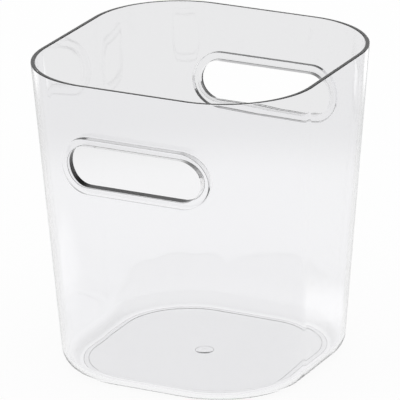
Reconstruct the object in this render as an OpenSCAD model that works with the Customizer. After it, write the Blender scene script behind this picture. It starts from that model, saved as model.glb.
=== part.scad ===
// Clear storage bin: one injection moulding with a hand hole in two opposite walls.
// The origin is the centre of the foot ring, on the surface that the bin stands on.
// +Z is up and the hand holes face -Y (front) and +Y (back).

/* [Outline] */
// Width and depth over the rim
rim_width = 130; // [115:1:160]
// Width and depth of the drafted walls where they would meet the table
base_width = 113.2; // [104:0.2:114.6]
// Height from the table to the rim
height = 140; // [125:0.2:170]
// Radius of the four upright corners, the same at the rim and at the base
corner_radius = 40.6; // [34:0.2:45]
// Wall thickness
wall = 1.9; // [1.4:0.1:2.4]

/* [Base] */
// Radius of the outer edge round the base
base_round = 7.8; // [5:0.1:9]
// Thickness of the floor at the foot ring
floor_thickness = 2; // [1.8:0.1:2.6]
// Radius of the inner edge round the floor
floor_round = 5.9; // [4:0.1:7]
// Width of the flat foot ring that the bin stands on
foot_ring = 1.6; // [1:0.1:6]
// Width of the ledge between the foot ring and the raised panel
ledge_width = 2.2; // [1:0.1:4]
// Height of each of the two steps, up to the ledge and up to the panel
ledge_rise = 0.4; // [0.2:0.1:0.5]
// Diameter of the round gate recess in the middle of the panel
gate_recess_d = 8.4; // [5:0.2:12]
// Depth of the gate recess
gate_recess_depth = 0.5; // [0.2:0.1:0.6]

/* [Hand holes] */
// Length of a hand hole
hole_length = 63.4; // [45:0.2:70]
// Height of a hand hole
hole_height = 19; // [14:0.2:24]
// Height of a hand hole's centre above the table
hole_z = 104.4; // [70:0.2:112]
// How far the collar round a hand hole stands out of the wall
collar_stand = 3; // [1:0.1:6]
// Width of the collar's face
collar_face = 3.3; // [1.4:0.1:4]

/* [Hidden] */
$fn = 96;
// Outward lean of a wall per millimetre of height
lean = (rim_width - base_width) / 2 / height;
// Extra radius that makes a round corner cross the walls that it blends into
crossing = 0.005;
// Height over which the drafted walls and the rounded base overlap
lap = 0.5;
// The base stops this far inside the walls above it, as a witness line
witness = 0.06;
// Extra length of every cutter past the face that it cuts
over = 1;
// Half the side of a cube that is larger than the bin
reach = 2 * height;

// Half width of the outer walls at height z
function half_width(z) = base_width / 2 + lean * z;

// Length in whole micrometres, so that the bodies placed by it meet exactly
function whole(length) = round(1000 * length) / 1000;

// Everything between two walls that lean apart from z0 to z1, each moved in by inset
module leaning_slab(inset, z0, z1) {
  x0 = half_width(z0) - inset;
  x1 = half_width(z1) - inset;
  rotate([90, 0, 0])
    linear_extrude(2 * reach, center = true)
      polygon([[-x0, z0], [x0, z0], [x1, z1], [-x1, z1]]);
}

// Round bar that leans outward with both walls that it blends into
module corner_bar(inset) {
  foot = half_width(0) - corner_radius;
  translate([foot, foot, 0])
    rotate([0, atan(lean * sqrt(2)), 45])
      cylinder(
        r = (corner_radius - inset) * cos(atan(lean)) + crossing,
        h = 4 * height,
        center = true
      );
}

// Drafted block with round corners: the outer walls moved in by inset, from z0 to z1
module drafted_block(inset, z0, z1) {
  intersection() {
    leaning_slab(inset, z0, z1);
    rotate([0, 0, 90]) leaning_slab(inset, z0, z1);
    union() {
      for (turn = [0, 90])
        rotate([0, 0, turn]) leaning_slab(corner_radius, z0 - over, z1 + over);
      for (quarter = [0 : 3]) rotate([0, 0, 90 * quarter]) corner_bar(inset);
    }
  }
}

// Half of the section through a slab with a rounded lower edge
module rounded_edge_section(half, rise) {
  square([half - rise, rise]);
  intersection() {
    translate([half - rise, rise]) circle(r = rise);
    square([half, rise]);
  }
}

// Slab under a drafted block from z0 to z1, its lower edge rounded by its whole height
module rounded_base(inset, z0, z1) {
  c = whole(half_width(z1) - corner_radius);
  half = whole(half_width(z1) - inset - witness);
  rise = z1 - z0;
  translate([0, 0, z0]) {
    for (turn = [0, 90])
      rotate([90, 0, turn])
        linear_extrude(2 * c, center = true)
          for (side = [0, 1]) mirror([side, 0]) rounded_edge_section(half, rise);
    for (quarter = [0 : 3])
      rotate([0, 0, 90 * quarter])
        translate([c, c, 0])
          rotate_extrude(angle = 90) rounded_edge_section(half - c, rise);
    linear_extrude(rise) square(c + half - rise, center = true);
  }
}

// Flat outline of a square of the given width with round corners
module rounded_square(width, radius) {
  c = width / 2 - radius;
  square([width, 2 * c], center = true);
  square([2 * c, width], center = true);
  for (x = [-c, c], y = [-c, c]) translate([x, y]) circle(r = radius);
}

// Upright stadium through the front and back walls, grown by margin all round
module hand_hole_bar(margin) {
  half_straight = (hole_length - hole_height) / 2;
  translate([0, 0, hole_z])
    rotate([90, 0, 0])
      linear_extrude(2 * reach, center = true) {
        square([2 * half_straight, hole_height + 2 * margin], center = true);
        for (x = [-half_straight, half_straight])
          translate([x, 0]) circle(r = hole_height / 2 + margin);
      }
}

// Solid body of the bin before it is hollowed
module outer_body() {
  drafted_block(0, base_round - lap, height);
  rounded_base(0, 0, base_round);
}

// Collars round the hand holes, still joined through the inside
module collar_bar() {
  clear = collar_face + 2;
  intersection() {
    hand_hole_bar(collar_face);
    drafted_block(
      -collar_stand,
      hole_z - hole_height / 2 - clear,
      hole_z + hole_height / 2 + clear
    );
  }
}

// The space inside the bin
module cavity() {
  top = floor_thickness + floor_round;
  drafted_block(wall, top - lap, height + over);
  rounded_base(wall, floor_thickness, top);
}

// Recess in the underside, its outline moved in from the rounded base by inset
module base_recess(inset, rise) {
  half = whole(half_width(base_round) - witness - base_round - inset);
  translate([0, 0, -over])
    linear_extrude(rise + over)
      rounded_square(2 * half, whole(corner_radius - half_width(0) + half));
}

// Round recess that the gate leaves in the raised panel
module gate_recess() {
  translate([0, 0, -over])
    cylinder(d = gate_recess_d, h = 2 * ledge_rise + gate_recess_depth + over);
}

// The bin, in clear plastic
module bin() {
  color([0.9, 0.93, 0.95, 0.35])
    difference() {
      union() {
        outer_body();
        collar_bar();
      }
      cavity();
      hand_hole_bar(0);
      base_recess(foot_ring, ledge_rise);
      base_recess(foot_ring + ledge_width, 2 * ledge_rise);
      gate_recess();
    }
}

bin();
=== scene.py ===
"""Studio scene of a clear plastic storage bin with a collared hand hole in two opposite walls.

The bin is one moulding. Its shell is built here as one closed net of quads and stands for the CAD node
of the same form. It has the small radii that a moulding has on its rim, its collars and the steps under
its floor, and a low stub at the gate.
"""

import logging
import math
from dataclasses import dataclass, field
from enum import Enum
from typing import Any, Iterable, Sequence

import bmesh
import bpy
from mathutils import Matrix, Vector


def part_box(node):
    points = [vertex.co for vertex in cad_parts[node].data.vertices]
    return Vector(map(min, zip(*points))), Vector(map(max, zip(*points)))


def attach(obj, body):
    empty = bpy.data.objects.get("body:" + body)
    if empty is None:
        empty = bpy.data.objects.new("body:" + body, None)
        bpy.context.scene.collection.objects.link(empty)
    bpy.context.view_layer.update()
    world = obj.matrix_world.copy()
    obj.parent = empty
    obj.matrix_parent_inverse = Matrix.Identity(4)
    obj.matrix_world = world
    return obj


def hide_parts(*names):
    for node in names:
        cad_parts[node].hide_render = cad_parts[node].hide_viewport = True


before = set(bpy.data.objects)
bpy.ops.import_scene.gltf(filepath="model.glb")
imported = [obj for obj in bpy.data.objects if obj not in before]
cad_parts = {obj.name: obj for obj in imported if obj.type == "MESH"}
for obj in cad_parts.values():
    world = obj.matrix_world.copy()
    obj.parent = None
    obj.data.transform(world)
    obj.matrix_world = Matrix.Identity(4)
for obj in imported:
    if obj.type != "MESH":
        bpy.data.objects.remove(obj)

MM = 0.001
log = logging.getLogger("storage_bin")

Point = tuple[float, float, float]


def srgb(code: str) -> tuple[float, float, float, float]:
    """Turn a colour as it is written for print and screen into scene light.

    Args:
        code: Six hexadecimal digits, two each for red, green and blue.

    Returns:
        Linear red, green and blue, and an alpha of 1.
    """
    parts = [int(code[i : i + 2], 16) / 255 for i in (0, 2, 4)]
    linear = [p / 12.92 if p <= 0.04045 else ((p + 0.055) / 1.055) ** 2.4 for p in parts]
    return linear[0], linear[1], linear[2], 1.0


def spread(start: float, end: float, steps: int) -> list[float]:
    """Space values evenly over a range, without its start.

    Args:
        start: The value before the first one that is returned.
        end: The last value.
        steps: How many values there are.

    Returns:
        The values after start, up to and with end.
    """
    return [start + (end - start) * i / steps for i in range(1, steps + 1)]


def add_node(
    tree: bpy.types.NodeTree,
    kind: str,
    settings: dict[str, Any] | None = None,
    inputs: dict[str | int, Any] | None = None,
) -> bpy.types.Node:
    """Add a node with its settings, values and links.

    Args:
        tree: The node tree that gets the node.
        kind: Blender's name for the type of node.
        settings: Attributes of the node, such as its operation.
        inputs: For each input, an output socket to link or a plain value to set.

    Returns:
        The new node.
    """
    node = tree.nodes.new(kind)
    for name, value in (settings or {}).items():
        setattr(node, name, value)
    for name, value in (inputs or {}).items():
        if isinstance(value, bpy.types.NodeSocket):
            tree.links.new(value, node.inputs[name])
        else:
            node.inputs[name].default_value = value
    return node


def fresh_tree(owner: bpy.types.Material | bpy.types.World) -> bpy.types.NodeTree:
    """Empty the node tree of a material or world.

    Args:
        owner: The material or world.

    Returns:
        Its node tree, with no nodes in it.
    """
    owner.use_nodes = True
    owner.node_tree.nodes.clear()
    return owner.node_tree


class Side(Enum):
    """The walls that have a hand hole, each with its turn about the bin's axis in quarters."""

    FRONT = 0
    BACK = 2


@dataclass
class Net:
    """A closed surface of quads under construction, in millimetres."""

    points: list[Point] = field(default_factory=list)
    faces: list[tuple[int, ...]] = field(default_factory=list)

    def add(self, points: Iterable[Point]) -> list[int]:
        """Add points.

        Args:
            points: The points, in millimetres.

        Returns:
            The number of each point, in order.
        """
        first = len(self.points)
        self.points.extend(points)
        return list(range(first, len(self.points)))

    def join(self, low: Sequence[int], high: Sequence[int], skip: Iterable[int] = ()) -> None:
        """Lay one round of quads between two closed rings.

        Args:
            low: The point numbers of one ring.
            high: The point numbers of the other, which has as many.
            skip: The places in the ring after which no quad is laid.
        """
        count = len(low)
        left_out = set(skip)
        for i in range(count):
            if i not in left_out:
                j = (i + 1) % count
                self.faces.append((low[i], low[j], high[j], high[i]))

    def cap(self, ring: Sequence[int], middle: Point) -> None:
        """Close a ring with triangles to a point in its middle.

        Args:
            ring: The point numbers of the ring.
            middle: The point, in millimetres.
        """
        centre = self.add([middle])[0]
        for i in range(len(ring)):
            self.faces.append((ring[i], ring[(i + 1) % len(ring)], centre))

    def to_object(self, name: str) -> bpy.types.Object:
        """Make the mesh object, with smooth shading all over.

        Args:
            name: The name of the object and its mesh.

        Returns:
            The object, in metres.
        """
        mesh = bpy.data.meshes.new(name)
        mesh.from_pydata([[c * MM for c in p] for p in self.points], [], self.faces)
        mesh.validate()
        mesh.polygons.foreach_set("use_smooth", [True] * len(mesh.polygons))
        mesh.update()
        obj = bpy.data.objects.new(name, mesh)
        bpy.context.scene.collection.objects.link(obj)
        return obj


@dataclass(frozen=True)
class Ring:
    """A square with round corners, level at one height.

    Attributes:
        centre: Distance from the axis to each corner's centre, along X and along Y.
        radius: Radius of the corners.
        z: Height.
    """

    centre: float
    radius: float
    z: float

    def points(self, flat_steps: int, arc_steps: int) -> list[Point]:
        """Walk round the ring from the middle of the front side, over +X.

        Args:
            flat_steps: Steps along each half of a straight side.
            arc_steps: Steps round each corner.

        Returns:
            The points of the ring.
        """
        c, r = self.centre, self.radius
        quarter = [(c * i / flat_steps, -c - r) for i in range(flat_steps)]
        for i in range(arc_steps):
            turn = math.pi / 2 * i / arc_steps
            quarter.append((c + r * math.sin(turn), -c - r * math.cos(turn)))
        quarter += [(c + r, -c + c * i / flat_steps) for i in range(flat_steps)]
        walk = []
        for _ in range(4):
            walk += quarter
            quarter = [(-y, x) for x, y in quarter]
        return [(x, y, self.z) for x, y in walk]


@dataclass(frozen=True)
class HandHole:
    """A stadium-shaped hole and the collar that stands out of the wall round it, in millimetres.

    Attributes:
        length: Length of the hole.
        height: Height of the hole.
        z: Height of its centre above the table.
        stand: How far the collar stands out of the wall.
        face: Width of the collar's face.
        root_radius: Radius where the collar meets the wall.
        lip_radius: Radius of the outer edge of its face.
        mouth_radius: Radius of the hole's edge on the face.
        inner_radius: Radius of the hole's edge inside the bin.
        edge_steps: Steps round each radius.
        bore_steps: Steps along the straight bore of the hole.
    """

    length: float = 63.4
    height: float = 19.0
    z: float = 104.4
    stand: float = 3.0
    face: float = 3.3
    root_radius: float = 0.2
    lip_radius: float = 0.25
    mouth_radius: float = 0.2
    inner_radius: float = 0.15
    edge_steps: int = 5
    bore_steps: int = 4

    @property
    def end_radius(self) -> float:
        """Radius of the hole's round ends."""
        return self.height / 2

    @property
    def half_straight(self) -> float:
        """Half the length of the hole's straight edges."""
        return (self.length - self.height) / 2

    def stations(self, across: int, up: int) -> list[tuple[float, float]]:
        """Place stations round the outline, in step with a rectangle's edges.

        Args:
            across: How many steps the rectangle's top and bottom edges have.
            up: How many steps its left and right edges have.

        Returns:
            For each station, the place of the arc's centre along the hole and the direction out of it.
        """
        eighth = math.pi / 4 * self.end_radius
        top_length = 2 * (eighth + self.half_straight)
        top, right = [], []
        for i in range(across):
            run = top_length * i / across
            if run < eighth:
                top.append((-self.half_straight, 3 * math.pi / 4 - run / self.end_radius))
            elif run > top_length - eighth:
                back = top_length - run
                top.append((self.half_straight, math.pi / 4 + back / self.end_radius))
            else:
                top.append((run - eighth - self.half_straight, math.pi / 2))
        for i in range(up):
            right.append((self.half_straight, math.pi / 4 - math.pi / 2 * i / up))
        half = top + right
        return half + [(-spine, turn + math.pi) for spine, turn in half]

    def outline(self, station: tuple[float, float], offset: float) -> tuple[float, float]:
        """Find a station's point on the outline, moved out of the hole.

        Args:
            station: A station from stations().
            offset: How far the point lies outside the hole's edge.

        Returns:
            The place along the hole and the height.
        """
        spine, turn = station
        reach = self.end_radius + offset
        return spine + reach * math.cos(turn), self.z + reach * math.sin(turn)

    def section(self, wall: float) -> list[tuple[float, float]]:
        """Draw the collar's section, from the outer face of the wall to the inner one.

        Args:
            wall: Thickness of the wall.

        Returns:
            Pairs of offset outside the hole's edge and inset from the wall's outer face.
        """
        turns = [0.0, *spread(0, math.pi / 2, self.edge_steps)]
        root, lip, mouth, end = self.root_radius, self.lip_radius, self.mouth_radius, self.inner_radius
        path = []
        for t in turns:
            path.append((self.face + root * (1 - math.sin(t)), -root * (1 - math.cos(t))))
        for t in turns:
            path.append((self.face - lip * (1 - math.cos(t)), -self.stand + lip * (1 - math.sin(t))))
        for t in turns:
            path.append((mouth * (1 - math.sin(t)), -self.stand + mouth * (1 - math.cos(t))))
        path += [(0.0, z) for z in spread(path[-1][1], wall - end, self.bore_steps)[:-1]]
        for t in turns:
            path.append((end * (1 - math.cos(t)), wall - end + end * math.sin(t)))
        return path


@dataclass(frozen=True)
class ClearStyrene:
    """Injection-moulded clear styrene: colourless, polished, with the faint flow of the melt in it.

    Attributes:
        ior: Refractive index of the plastic.
        roughness: Roughness of its polished faces.
        tint: Colour that each pass through a face leaves.
        flow_size: Length of the flow waves, in metres.
        flow_depth: Depth of the flow waves, in metres.
    """

    ior: float = 1.57
    roughness: float = 0.0
    tint: str = "FDFDFE"
    flow_size: float = 0.035
    flow_depth: float = 0.000006

    def material(self) -> bpy.types.Material:
        """Make the material.

        Returns:
            The material, named for the plastic.
        """
        # The eye gets a water-clear wall with bright and dark edges, which the index makes.
        made = bpy.data.materials.new("clear_moulded_styrene")
        tree = fresh_tree(made)
        place = add_node(tree, "ShaderNodeTexCoord")
        # The melt front leaves slow waves in the faces, which bend what is seen through them.
        flow = add_node(
            tree,
            "ShaderNodeTexNoise",
            inputs={"Vector": place.outputs["Object"], "Scale": 1 / self.flow_size, "Detail": 1.0},
        )
        wave = add_node(
            tree,
            "ShaderNodeBump",
            inputs={"Height": flow.outputs["Fac"], "Distance": self.flow_depth, "Strength": 1.0},
        )
        shader = add_node(
            tree,
            "ShaderNodeBsdfPrincipled",
            inputs={
                "Base Color": srgb(self.tint),
                "Roughness": self.roughness,
                "IOR": self.ior,
                "Transmission Weight": 1.0,
                "Normal": wave.outputs["Normal"],
            },
        )
        add_node(tree, "ShaderNodeOutputMaterial", inputs={"Surface": shader.outputs["BSDF"]})
        return made


@dataclass
class BinShell:
    """The moulded shell of the bin, in millimetres, with its foot ring on the table.

    Attributes:
        rim_width: Width and depth over the rim.
        height: Height from the table to the rim.
        base_width: Width and depth of the walls where they would meet the table.
        corner_radius: Radius of the upright corners.
        wall: Thickness of the walls.
        base_round: Radius of the outer edge round the base.
        floor_thickness: Thickness of the floor at the foot ring.
        floor_round: Radius of the inner edge round the floor.
        foot_ring: Width of the flat ring that the bin stands on.
        ledge_width: Width of the ledge between the foot ring and the raised panel.
        ledge_rise: Height of each of the two steps, to the ledge and to the panel.
        gate_d: Diameter of the stub that the gate leaves under the panel.
        gate_drop: How far the stub stands down from the panel.
        step_radius: Radius of the edges of the steps and the stub.
        step_margin: Width of the flat between such an edge and the rings beside it.
        rim_radius: Radius of both edges of the rim.
        floor_margin: Width of the flat between the floor's fillet and the rings of the floor.
        floor_eye: Radius of the last ring on the floor.
        hole: The hand hole in the front wall and in the back wall.
        finish: The plastic.
        flat_steps: Steps along each half of a straight side.
        arc_steps: Steps round each corner.
        edge_steps: Steps round each radius of the rim.
        under_steps: Steps round each radius under the floor.
        fillet_steps: Steps round the edges of the base and the floor.
        foot_steps: Rings on the flat foot ring.
        panel_steps: Steps from the outline of the floor, or of the panel, to the ring in its middle.
        rows_above: Rows of quads in a wall above the hand holes' patches.
        rows_below: Rows below them.
        hole_reach: Columns that a patch takes past each end of the flat part of a wall.
        hole_margin: Height of a patch above and below the collar.
        hole_rows: Rows across a patch.
        patch_steps: Rounds of quads from a patch's edge to the collar.
    """

    rim_width: float
    height: float
    base_width: float = 113.2
    corner_radius: float = 40.6
    wall: float = 1.9
    base_round: float = 7.8
    floor_thickness: float = 2.0
    floor_round: float = 5.9
    foot_ring: float = 1.6
    ledge_width: float = 2.2
    ledge_rise: float = 0.4
    gate_d: float = 8.2
    gate_drop: float = 0.45
    step_radius: float = 0.12
    step_margin: float = 0.3
    rim_radius: float = 0.35
    floor_margin: float = 1.0
    floor_eye: float = 0.9
    hole: HandHole = HandHole()
    finish: ClearStyrene = ClearStyrene()
    flat_steps: int = 12
    arc_steps: int = 40
    edge_steps: int = 5
    under_steps: int = 4
    fillet_steps: int = 14
    foot_steps: int = 2
    panel_steps: int = 12
    rows_above: int = 4
    rows_below: int = 14
    hole_reach: int = 11
    hole_margin: float = 5.3
    hole_rows: int = 22
    patch_steps: int = 7

    @property
    def lean(self) -> float:
        """Outward lean of a wall per millimetre of height."""
        return (self.rim_width - self.base_width) / 2 / self.height

    @property
    def panel_z(self) -> float:
        """Height of the raised panel above the table."""
        return 2 * self.ledge_rise

    def centre(self, z: float) -> float:
        """Distance at height z from the axis to a corner's centre, along X and along Y."""
        return self.base_width / 2 + self.lean * z - self.corner_radius

    def wall_ring(self, inset: float, z: float) -> Ring:
        """Ring at height z on a wall's outer face moved in by inset."""
        return Ring(self.centre(z), self.corner_radius - inset, z)

    def wall_depth(self, inset: float, across: float, z: float) -> float:
        """Find how far a wall's face lies from the axis.

        Args:
            inset: How far the face is moved in from the wall's outer face.
            across: Place along the wall, from its middle.
            z: Height.

        Returns:
            The distance to the bin's middle plane along that wall.
        """
        c = self.centre(z)
        r = self.corner_radius - inset
        past = max(0.0, abs(across) - c)
        return c + math.sqrt(r * r - past * past)

    def soft_step(self, half: float, low: float, high: float) -> list[tuple[float, float]]:
        """Draw a step in the underside, up or down, with a small radius on both of its edges.

        Args:
            half: Half width at which the step stands.
            low: Height of the face outside the step.
            high: Height of the face inside it.

        Returns:
            Pairs of half width and height, from outside to inside.
        """
        r = self.step_radius
        rise = math.copysign(r, high - low)
        turns = [0.0, *spread(0, math.pi / 2, self.under_steps)]
        foot = [(half + r * (1 - math.sin(t)), low + rise * (1 - math.cos(t))) for t in turns]
        crest = [(half - r * (1 - math.cos(t)), high - rise * (1 - math.sin(t))) for t in turns]
        return foot + crest

    def under_rings(self, edge: float, centre: float) -> list[Ring]:
        """Lay the rings of the underside, over the ledge and the panel to the gate's stub.

        Args:
            edge: Half width at which the fillet ends.
            centre: Distance from the axis to the corners' centres along the fillet.

        Returns:
            The rings, from outside to inside.
        """
        c = self.centre(0)
        ring_half = self.base_width / 2 + self.lean * self.base_round - self.base_round - self.foot_ring
        ledge_half = ring_half - self.ledge_width
        flat_end = ring_half + self.step_margin
        flat = spread(edge, flat_end, self.foot_steps)
        rings = [Ring(centre, half - centre, 0.0) for half in flat]
        for half, z in (
            *self.soft_step(ring_half, 0.0, self.ledge_rise),
            *self.soft_step(ledge_half, self.ledge_rise, self.panel_z),
        ):
            rings.append(Ring(c, half - c, z))
        gate = self.gate_d / 2
        start, end = ledge_half - self.step_margin, gate + self.step_margin
        rings += self.narrowing_rings(start, end, c, self.panel_z)
        for half, z in self.soft_step(gate, self.panel_z, self.panel_z - self.gate_drop):
            rings.append(Ring(0.0, half, z))
        return rings

    def narrowing_rings(self, start: float, end: float, centre: float, z: float) -> list[Ring]:
        """Lay level rings that turn from the outline of the floor into a circle.

        Args:
            start: Half width of the first ring.
            end: Radius of the last one.
            centre: Distance from the axis to the first ring's corner centres.
            z: Height of the rings.

        Returns:
            The rings, from outside to inside.
        """
        rings = []
        for part in (0.0, *spread(0, 1, self.panel_steps)):
            c = centre * (1 - part)
            rings.append(Ring(c, start + (end - start) * part - c, z))
        return rings

    def fillet_rings(self, inset: float, z: float, radius: float) -> tuple[list[Ring], float, float]:
        """Round the edge between the floor and the walls on one face of the shell.

        Args:
            inset: How far the face is moved in from the walls' outer face.
            z: Height of the floor's face.
            radius: Radius of the fillet.

        Returns:
            The rings from the wall down to the floor, the half width at which they end, and the
            corners' centre distance.
        """
        tilt = math.atan(self.lean)
        centre_x = self.base_width / 2 - inset + self.lean * (z + radius) - radius / math.cos(tilt)
        top = z + radius * (1 - math.sin(tilt))
        centre = self.centre(top)
        rings = []
        for part in (0.0, *spread(0, 1, self.fillet_steps)):
            turn = (math.pi / 2 - tilt) * (1 - part)
            half = centre_x + radius * math.sin(turn)
            rings.append(Ring(centre, half - centre, z + radius * (1 - math.cos(turn))))
        return rings, centre_x, centre

    def wall_heights(self, foot: float) -> list[float]:
        """Space the rings of a wall, closely where the hand holes are.

        Args:
            foot: Height at which the fillet starts.

        Returns:
            The heights, from the rim's radius down to the last one above foot.
        """
        high = self.hole.z + self.hole.height / 2 + self.hole.face + self.hole_margin
        low = self.hole.z - self.hole.height / 2 - self.hole.face - self.hole_margin
        heights = [self.height - self.rim_radius]
        heights += spread(heights[-1], high, self.rows_above)
        heights += spread(high, low, self.hole_rows)
        heights += spread(low, foot, self.rows_below)[:-1]
        return heights

    def outer_rings(self) -> list[Ring]:
        """Lay the rings of the outer face and the underside.

        Returns:
            The rings, from the rim's radius down and inward.
        """
        fillet, edge, centre = self.fillet_rings(0.0, 0.0, self.base_round)
        walls = [self.wall_ring(0.0, h) for h in self.wall_heights(fillet[0].z)]
        return walls + fillet + self.under_rings(edge, centre)

    def inner_rings(self) -> list[Ring]:
        """Lay the rings of the inner face and the flat floor.

        Returns:
            The rings, from the rim's radius down and inward.
        """
        floor = self.floor_thickness
        fillet, edge, centre = self.fillet_rings(self.wall, floor, self.floor_round)
        walls = [self.wall_ring(self.wall, h) for h in self.wall_heights(fillet[0].z)]
        start = edge - self.floor_margin
        return walls + fillet + self.narrowing_rings(start, self.floor_eye, centre, floor)

    def rim_rings(self) -> list[Ring]:
        """Lay the rings over the rim, with a radius on each edge.

        Returns:
            The rings, from the outer face of the walls to the inner one.
        """
        r = self.rim_radius
        turns = spread(0, math.pi / 2, self.edge_steps)
        rings = []
        for turn in turns:
            z = self.height - r * (1 - math.sin(turn))
            rings.append(self.wall_ring(r * (1 - math.cos(turn)), z))
        for turn in reversed(turns):
            z = self.height - r * (1 - math.sin(turn))
            rings.append(self.wall_ring(self.wall - r * (1 - math.cos(turn)), z))
        return rings

    def hole_columns(self, side: Side) -> list[int]:
        """Places in a ring of the columns across a hand hole.

        Args:
            side: The wall that has the hole.

        Returns:
            The places, in the order in which a ring is walked.
        """
        count = 4 * (2 * self.flat_steps + self.arc_steps)
        middle = count // 4 * side.value
        reach = self.flat_steps + self.hole_reach
        return [(middle + i) % count for i in range(-reach, reach + 1)]

    def open_wall(self, rows: Sequence[Sequence[int]], side: Side) -> list[int]:
        """List the points round the opening that is left in a wall for a hand hole.

        Args:
            rows: The point numbers of the rings from the top to the bottom of the opening.
            side: The wall that has the hole.

        Returns:
            The point numbers, from the top left corner over the top edge and round.
        """
        columns = self.hole_columns(side)
        loop = [rows[0][c] for c in columns[:-1]]
        loop += [row[columns[-1]] for row in rows[:-1]]
        loop += [rows[-1][c] for c in reversed(columns[1:])]
        loop += [row[columns[0]] for row in reversed(rows[1:])]
        return loop

    def place(self, side: Side, inset: float, across: float, z: float) -> Point:
        """Put a point on a face of a wall that has a hand hole.

        Args:
            side: The wall.
            inset: How far the face is moved in from the wall's outer face.
            across: Place along the wall, from its middle, to the right of someone who faces it.
            z: Height.

        Returns:
            The point, in millimetres.
        """
        sign = 1 if side is Side.FRONT else -1
        return sign * across, -sign * self.wall_depth(inset, across, z), z

    def patch_wall(
        self,
        net: Net,
        loop: Sequence[int],
        side: Side,
        inset: float,
        offset: float,
    ) -> list[int]:
        """Fill the wall between its opening and the foot of the collar.

        Args:
            net: The net that gets the quads.
            loop: The points round the opening.
            side: The wall that has the hole.
            inset: How far this face is moved in from the wall's outer face.
            offset: How far outside the hole's edge the patch ends.

        Returns:
            The points round the patch's inner edge.
        """
        sign = 1 if side is Side.FRONT else -1
        across = 2 * (self.flat_steps + self.hole_reach)
        stations = self.hole.stations(across, self.hole_rows)
        before = list(loop)
        for part in spread(0, 1, self.patch_steps):
            ring = []
            for number, station in zip(loop, stations):
                x, _, z = net.points[number]
                end_x, end_z = self.hole.outline(station, offset)
                at_x = sign * x + (end_x - sign * x) * part
                ring.append(self.place(side, inset, at_x, z + (end_z - z) * part))
            after = net.add(ring)
            net.join(before, after)
            before = after
        return before

    def add_collar(self, net: Net, outer: Sequence[int], inner: Sequence[int], side: Side) -> None:
        """Join both faces of a wall through the hand hole, round its collar.

        Args:
            net: The net that gets the quads.
            outer: The points round the patch on the outer face.
            inner: The points round the patch on the inner face.
            side: The wall that has the hole.
        """
        across = 2 * (self.flat_steps + self.hole_reach)
        stations = self.hole.stations(across, self.hole_rows)
        before = list(outer)
        for offset, inset in self.hole.section(self.wall)[1:-1]:
            ring = [self.place(side, inset, *self.hole.outline(s, offset)) for s in stations]
            after = net.add(ring)
            net.join(before, after)
            before = after
        net.join(before, inner)

    def build(self) -> bpy.types.Object:
        """Build the shell.

        Returns:
            The mesh object of the shell.
        """
        net = Net()
        steps = self.flat_steps, self.arc_steps
        outer_rows = [net.add(ring.points(*steps)) for ring in self.outer_rings()]
        rim_rows = [net.add(ring.points(*steps)) for ring in self.rim_rings()]
        inner_rows = [net.add(ring.points(*steps)) for ring in self.inner_rings()]
        top_row = self.rows_above
        bottom_row = top_row + self.hole_rows
        for rows in (outer_rows, inner_rows):
            for i in range(len(rows) - 1):
                skip: list[int] = []
                if top_row <= i < bottom_row:
                    skip = [c for side in Side for c in self.hole_columns(side)[:-1]]
                net.join(rows[i], rows[i + 1], skip)
        over_rim = [outer_rows[0], *rim_rows, inner_rows[0]]
        for low, high in zip(over_rim, over_rim[1:]):
            net.join(low, high)
        section = self.hole.section(self.wall)
        for side in Side:
            edges = []
            for rows, inset, offset in (
                (outer_rows, 0.0, section[0][0]),
                (inner_rows, self.wall, section[-1][0]),
            ):
                loop = self.open_wall(rows[top_row : bottom_row + 1], side)
                edges.append(self.patch_wall(net, loop, side, inset, offset))
            self.add_collar(net, edges[0], edges[1], side)
        net.cap(outer_rows[-1], (0.0, 0.0, self.panel_z - self.gate_drop))
        net.cap(inner_rows[-1], (0.0, 0.0, self.floor_thickness))
        shell = net.to_object("bin_shell")
        self.turn_outward(shell)
        return shell

    def turn_outward(self, shell: bpy.types.Object) -> None:
        """Turn every face of the shell outward, and merge points that lie on each other.

        Args:
            shell: The mesh object of the shell.
        """
        work = bmesh.new()
        work.from_mesh(shell.data)
        bmesh.ops.remove_doubles(work, verts=work.verts, dist=0.001 * MM)
        bmesh.ops.recalc_face_normals(work, faces=work.faces)
        open_edges = sum(1 for e in work.edges if not e.is_manifold)
        log.info("shell: %d faces, %d open edges", len(work.faces), open_edges)
        work.to_mesh(shell.data)
        work.free()

    def dress(self, shell: bpy.types.Object) -> None:
        """Give the shell its plastic, and put it in place of the CAD node.

        Args:
            shell: The mesh object of the shell.
        """
        shell.data.materials.append(self.finish.material())
        # Large faces decide the shading at their edges, so that flats look flat beside small radii.
        even = shell.modifiers.new("even_faces", "WEIGHTED_NORMAL")
        even.mode = "FACE_AREA"
        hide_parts("bin")
        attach(shell, "root")


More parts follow.
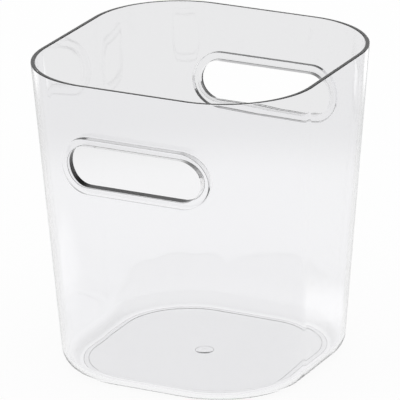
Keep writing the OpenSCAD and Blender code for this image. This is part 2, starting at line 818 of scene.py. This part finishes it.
@dataclass(frozen=True)
class Viewpoint:
    """Where the camera stands, and the lens that it has.

    Attributes:
        azimuth: Turn of the camera round the bin from its front, toward +X, in radians.
        elevation: Height of the camera above the level, in radians.
        roll: Turn of the camera about its own axis, in radians.
        distance: Distance to the middle of the bin, in metres.
        shift_right: How far the bin's middle lies right of the camera's axis, in metres.
        shift_up: How far it lies above that axis, in metres.
        lens: Focal length, in millimetres.
    """

    azimuth: float = 0.4673
    elevation: float = 0.3463
    roll: float = -0.0119
    distance: float = 2.1154
    shift_right: float = 0.001187
    shift_up: float = -0.001386
    lens: float = 435.65

    def forward(self) -> Vector:
        """Find the direction in which the camera looks.

        Returns:
            The direction, with a length of 1.
        """
        level = math.cos(self.elevation)
        return Vector(
            (
                -math.sin(self.azimuth) * level,
                math.cos(self.azimuth) * level,
                -math.sin(self.elevation),
            )
        )

    def build(self, height: float) -> bpy.types.Object:
        """Set up the camera, aimed at the middle of the bin.

        Args:
            height: Height of the bin, in metres.

        Returns:
            The camera.
        """
        ahead = self.forward()
        right = ahead.cross(Vector((0, 0, 1))).normalized()
        up = right.cross(ahead)
        across = math.cos(self.roll) * right + math.sin(self.roll) * up
        upward = -math.sin(self.roll) * right + math.cos(self.roll) * up
        place = Vector((0, 0, height / 2)) - ahead * self.distance
        data = bpy.data.cameras.new("camera")
        data.lens = self.lens
        data.clip_end = 20.0
        camera = bpy.data.objects.new("camera", data)
        place = place - across * self.shift_right - upward * self.shift_up
        turn = Matrix((across, upward, -ahead)).transposed()
        camera.matrix_world = Matrix.Translation(place) @ turn.to_4x4()
        bpy.context.scene.collection.objects.link(camera)
        bpy.context.scene.camera = camera
        return camera


@dataclass(frozen=True)
class PaintedLightPool:
    """A soft round pool of painted light on the table.

    Attributes:
        heading: Which way the pool lies from the bin, in degrees left of the way the camera looks.
        distance: How far its middle lies from the bin's axis, in metres.
        core: Radius within which its light is full, in metres.
        edge: Radius at which its light ends, in metres.
        extra: Its full painted light, where 1 is white.
    """

    heading: float
    distance: float
    core: float
    edge: float
    extra: float

    def add(
        self, tree: bpy.types.NodeTree, place: bpy.types.NodeSocket, forward: Vector
    ) -> bpy.types.NodeSocket:
        """Add nodes that paint the pool's light on the table.

        Args:
            tree: The node tree of the table.
            place: Where on the table a ray lands.
            forward: The way the camera looks.

        Returns:
            The painted light there.
        """
        turn = math.atan2(forward.y, forward.x) + math.radians(self.heading)
        middle = (self.distance * math.cos(turn), self.distance * math.sin(turn), 0.0)
        away = add_node(
            tree, "ShaderNodeVectorMath", {"operation": "DISTANCE"}, {0: place, 1: middle}
        )
        return add_node(
            tree,
            "ShaderNodeMapRange",
            {"interpolation_type": "SMOOTHSTEP"},
            {
                "Value": away.outputs["Value"],
                "From Min": self.core,
                "From Max": self.edge,
                "To Min": self.extra,
                "To Max": 0.0,
            },
        ).outputs[0]


@dataclass
class Studio:
    """A white table and a lit backdrop in a dark room, with pools of light and highlights painted on
    the table.

    Attributes:
        view: Where the camera stands.
        table_size: Length of the table's sides, in metres.
        glow: Share of the table's look that doesn't take shadow.
        near_tone: How bright the painted pool of light round the bin looks by way of the plastic, where
            1 is white.
        far_tone: How bright the far table and the backdrop look by way of the plastic.
        near_radius: Distance from the bin at which the painted pool of light starts to fade, in metres.
        far_radius: Distance at which it has faded, in metres.
        dark: How bright the unlit part of the room is.
        lit_angle: Angle off the camera's view within which the backdrop is lit, in degrees.
        dark_angle: Angle from which it is dark, in degrees.
        lit_height: Height above the level up to which the backdrop is lit, in degrees.
        dark_height: Height from which it is dark, in degrees.
        painted_pool_under_bin: A pool of light painted on the table under the bin, for the light that
            the clear bin lets through.
        painted_highlights: Pools of painted light on the table that the upright corners mirror, as
            painted highlights.
    """

    view: Viewpoint
    table_size: float = 6.0
    glow: float = 0.94
    near_tone: float = 0.93
    far_tone: float = 0.83
    near_radius: float = 0.23
    far_radius: float = 0.32
    dark: float = 0.1
    lit_angle: float = 60.0
    dark_angle: float = 100.0
    lit_height: float = 12.0
    dark_height: float = 40.0
    painted_pool_under_bin: PaintedLightPool = PaintedLightPool(0.0, 0.0, 0.045, 0.11, 0.04)
    # Painted pools of light on the table, which the corners mirror as painted highlights.
    painted_highlights: tuple[PaintedLightPool, ...] = (
        PaintedLightPool(47.0, 0.44, 0.03, 0.11, 1.3),
        PaintedLightPool(88.0, 0.17, 0.02, 0.07, 0.55),
        PaintedLightPool(-36.0, 0.42, 0.03, 0.09, 0.9),
        PaintedLightPool(-80.0, 0.11, 0.005, 0.036, 0.6),
    )

    def by_plastic(self, tree: bpy.types.NodeTree) -> bpy.types.NodeSocket:
        """Add nodes that say whether a ray comes by way of the plastic.

        Args:
            tree: The node tree of the thing that is seen.

        Returns:
            1 for a ray through the plastic or mirrored in it, and 0 otherwise.
        """
        path = add_node(tree, "ShaderNodeLightPath")
        return add_node(
            tree,
            "ShaderNodeMath",
            {"operation": "MAXIMUM"},
            {0: path.outputs["Is Glossy Ray"], 1: path.outputs["Is Transmission Ray"]},
        ).outputs[0]

    def seen(self, tree: bpy.types.NodeTree) -> bpy.types.NodeSocket:
        """Add nodes that say whether a ray shows the thing, straight on or by way of the plastic.

        Args:
            tree: The node tree of the thing.

        Returns:
            1 for such a ray, and 0 for one that gathers light for a matt face.
        """
        path = add_node(tree, "ShaderNodeLightPath")
        return add_node(
            tree,
            "ShaderNodeMath",
            {"operation": "MAXIMUM"},
            {0: path.outputs["Is Camera Ray"], 1: self.by_plastic(tree)},
        ).outputs[0]

    def tone(
        self, tree: bpy.types.NodeTree, in_plastic: bpy.types.NodeSocket | float
    ) -> bpy.types.NodeSocket:
        """Add nodes that set how bright the studio looks straight on and by way of the plastic.

        Args:
            tree: The node tree of the thing that is seen.
            in_plastic: How bright it looks through plastic, or mirrored in it.

        Returns:
            The brightness: 1 straight on, and in_plastic otherwise.
        """
        return add_node(
            tree,
            "ShaderNodeMapRange",
            inputs={"Value": self.by_plastic(tree), "To Min": 1.0, "To Max": in_plastic},
        ).outputs[0]

    def painted_table_light(self, tree: bpy.types.NodeTree) -> bpy.types.NodeSocket:
        """Add nodes that paint pools of light and highlights on the table, as they look by way of the
        plastic.

        Args:
            tree: The node tree of the table.

        Returns:
            The brightness, where 1 is white.
        """
        # A painted pool of light: the paper is brightest round the bin and fades further out.
        place = add_node(tree, "ShaderNodeTexCoord")
        radius = add_node(
            tree, "ShaderNodeVectorMath", {"operation": "LENGTH"}, {0: place.outputs["Object"]}
        )
        pool = add_node(
            tree,
            "ShaderNodeMapRange",
            {"interpolation_type": "SMOOTHSTEP"},
            {
                "Value": radius.outputs["Value"],
                "From Min": self.near_radius,
                "From Max": self.far_radius,
                "To Min": self.near_tone,
                "To Max": self.far_tone,
            },
        )
        where, forward = place.outputs["Object"], self.view.forward()
        # Add the pool of light painted under the bin.
        level = add_node(
            tree,
            "ShaderNodeMath",
            inputs={0: pool.outputs[0], 1: self.painted_pool_under_bin.add(tree, where, forward)},
        ).outputs[0]
        # Only a ray that is mirrored off the outside of the plastic meets these painted pools of light,
        # which show as painted highlights on the corners.
        path = add_node(tree, "ShaderNodeLightPath")
        mirrored = add_node(
            tree,
            "ShaderNodeMath",
            {"operation": "SUBTRACT", "use_clamp": True},
            {0: path.outputs["Is Glossy Ray"], 1: path.outputs["Is Transmission Ray"]},
        )
        for highlight_pool in self.painted_highlights:
            level = add_node(
                tree,
                "ShaderNodeMath",
                {"operation": "MULTIPLY_ADD"},
                {0: highlight_pool.add(tree, where, forward), 1: mirrored.outputs[0], 2: level},
            ).outputs[0]
        return level

    def paper(self) -> bpy.types.Material:
        """Make the table's paper.

        Returns:
            The material, named for the paper.
        """
        # The eye gets plain white, on which only the bin's soft shadow shows.
        made = bpy.data.materials.new("white_paper")
        tree = fresh_tree(made)
        lit = add_node(tree, "ShaderNodeBsdfDiffuse", inputs={"Color": srgb("F4F4F4")})
        glow = add_node(
            tree,
            "ShaderNodeEmission",
            inputs={
                "Color": srgb("FFFFFF"),
                "Strength": self.tone(tree, self.painted_table_light(tree)),
            },
        )
        share = add_node(
            tree,
            "ShaderNodeMath",
            {"operation": "MULTIPLY"},
            {0: self.seen(tree), 1: self.glow},
        )
        both = add_node(
            tree,
            "ShaderNodeMixShader",
            inputs={0: share.outputs[0], 1: lit.outputs[0], 2: glow.outputs[0]},
        )
        add_node(tree, "ShaderNodeOutputMaterial", inputs={"Surface": both.outputs[0]})
        return made

    def build_table(self) -> bpy.types.Object:
        """Lay the table top.

        Returns:
            The table top.
        """
        half = self.table_size / 2
        mesh = bpy.data.meshes.new("table")
        corners = [(-half, -half, 0), (half, -half, 0), (half, half, 0), (-half, half, 0)]
        mesh.from_pydata(corners, [], [(0, 1, 2, 3)])
        mesh.materials.append(self.paper())
        table = bpy.data.objects.new("table", mesh)
        bpy.context.scene.collection.objects.link(table)
        return table

    def build_room(self) -> None:
        """Light the room: a backdrop of limited width and height, and darkness round it."""
        world = bpy.data.worlds.new("room")
        bpy.context.scene.world = world
        tree = fresh_tree(world)
        look = add_node(tree, "ShaderNodeTexCoord")
        along = add_node(
            tree,
            "ShaderNodeVectorMath",
            {"operation": "DOT_PRODUCT"},
            {0: look.outputs["Generated"], 1: self.view.forward()},
        )
        width = add_node(
            tree,
            "ShaderNodeMapRange",
            {"interpolation_type": "SMOOTHSTEP"},
            {
                "Value": along.outputs["Value"],
                "From Min": math.cos(math.radians(self.dark_angle)),
                "From Max": math.cos(math.radians(self.lit_angle)),
            },
        )
        axes = add_node(tree, "ShaderNodeSeparateXYZ", inputs={0: look.outputs["Generated"]})
        height = add_node(
            tree,
            "ShaderNodeMapRange",
            {"interpolation_type": "SMOOTHSTEP"},
            {
                "Value": axes.outputs["Z"],
                "From Min": math.sin(math.radians(self.dark_height)),
                "From Max": math.sin(math.radians(self.lit_height)),
            },
        )
        backdrop = add_node(
            tree,
            "ShaderNodeMath",
            {"operation": "MULTIPLY"},
            {0: width.outputs[0], 1: height.outputs[0]},
        )
        level = add_node(
            tree,
            "ShaderNodeMapRange",
            inputs={"Value": backdrop.outputs[0], "To Min": self.dark},
        )
        path = add_node(tree, "ShaderNodeLightPath")
        plain = add_node(
            tree,
            "ShaderNodeMath",
            {"operation": "MAXIMUM"},
            {0: path.outputs["Is Camera Ray"], 1: path.outputs["Is Diffuse Ray"]},
        )
        bright = add_node(
            tree,
            "ShaderNodeMath",
            {"operation": "MAXIMUM"},
            {0: plain.outputs[0], 1: level.outputs[0]},
        )
        strength = add_node(
            tree,
            "ShaderNodeMath",
            {"operation": "MULTIPLY"},
            {0: bright.outputs[0], 1: self.tone(tree, self.far_tone)},
        )
        light = add_node(
            tree,
            "ShaderNodeBackground",
            inputs={"Color": srgb("FFFFFF"), "Strength": strength.outputs[0]},
        )
        add_node(tree, "ShaderNodeOutputWorld", inputs={"Surface": light.outputs[0]})

    def build(self) -> None:
        """Build the table and the room."""
        self.build_table()
        self.build_room()


def main() -> None:
    """Build the bin, sized from the CAD node's box, the studio and the camera."""
    logging.basicConfig(level=logging.INFO, format="%(name)s: %(message)s")
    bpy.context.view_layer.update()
    low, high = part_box("bin")
    shell = BinShell(rim_width=(high.x - low.x) / MM, height=(high.z - low.z) / MM)
    obj = shell.build()
    shell.dress(obj)
    log.info("bin shell: %d points", len(obj.data.vertices))
    view = Viewpoint()
    view.build(high.z)
    log.info("camera: %.1f mm lens at %.3f m", view.lens, view.distance)
    Studio(view).build()
    log.info("studio: table and room")
    scene = bpy.context.scene
    scene.view_settings.view_transform = "Standard"


if __name__ == "__main__":
    main()
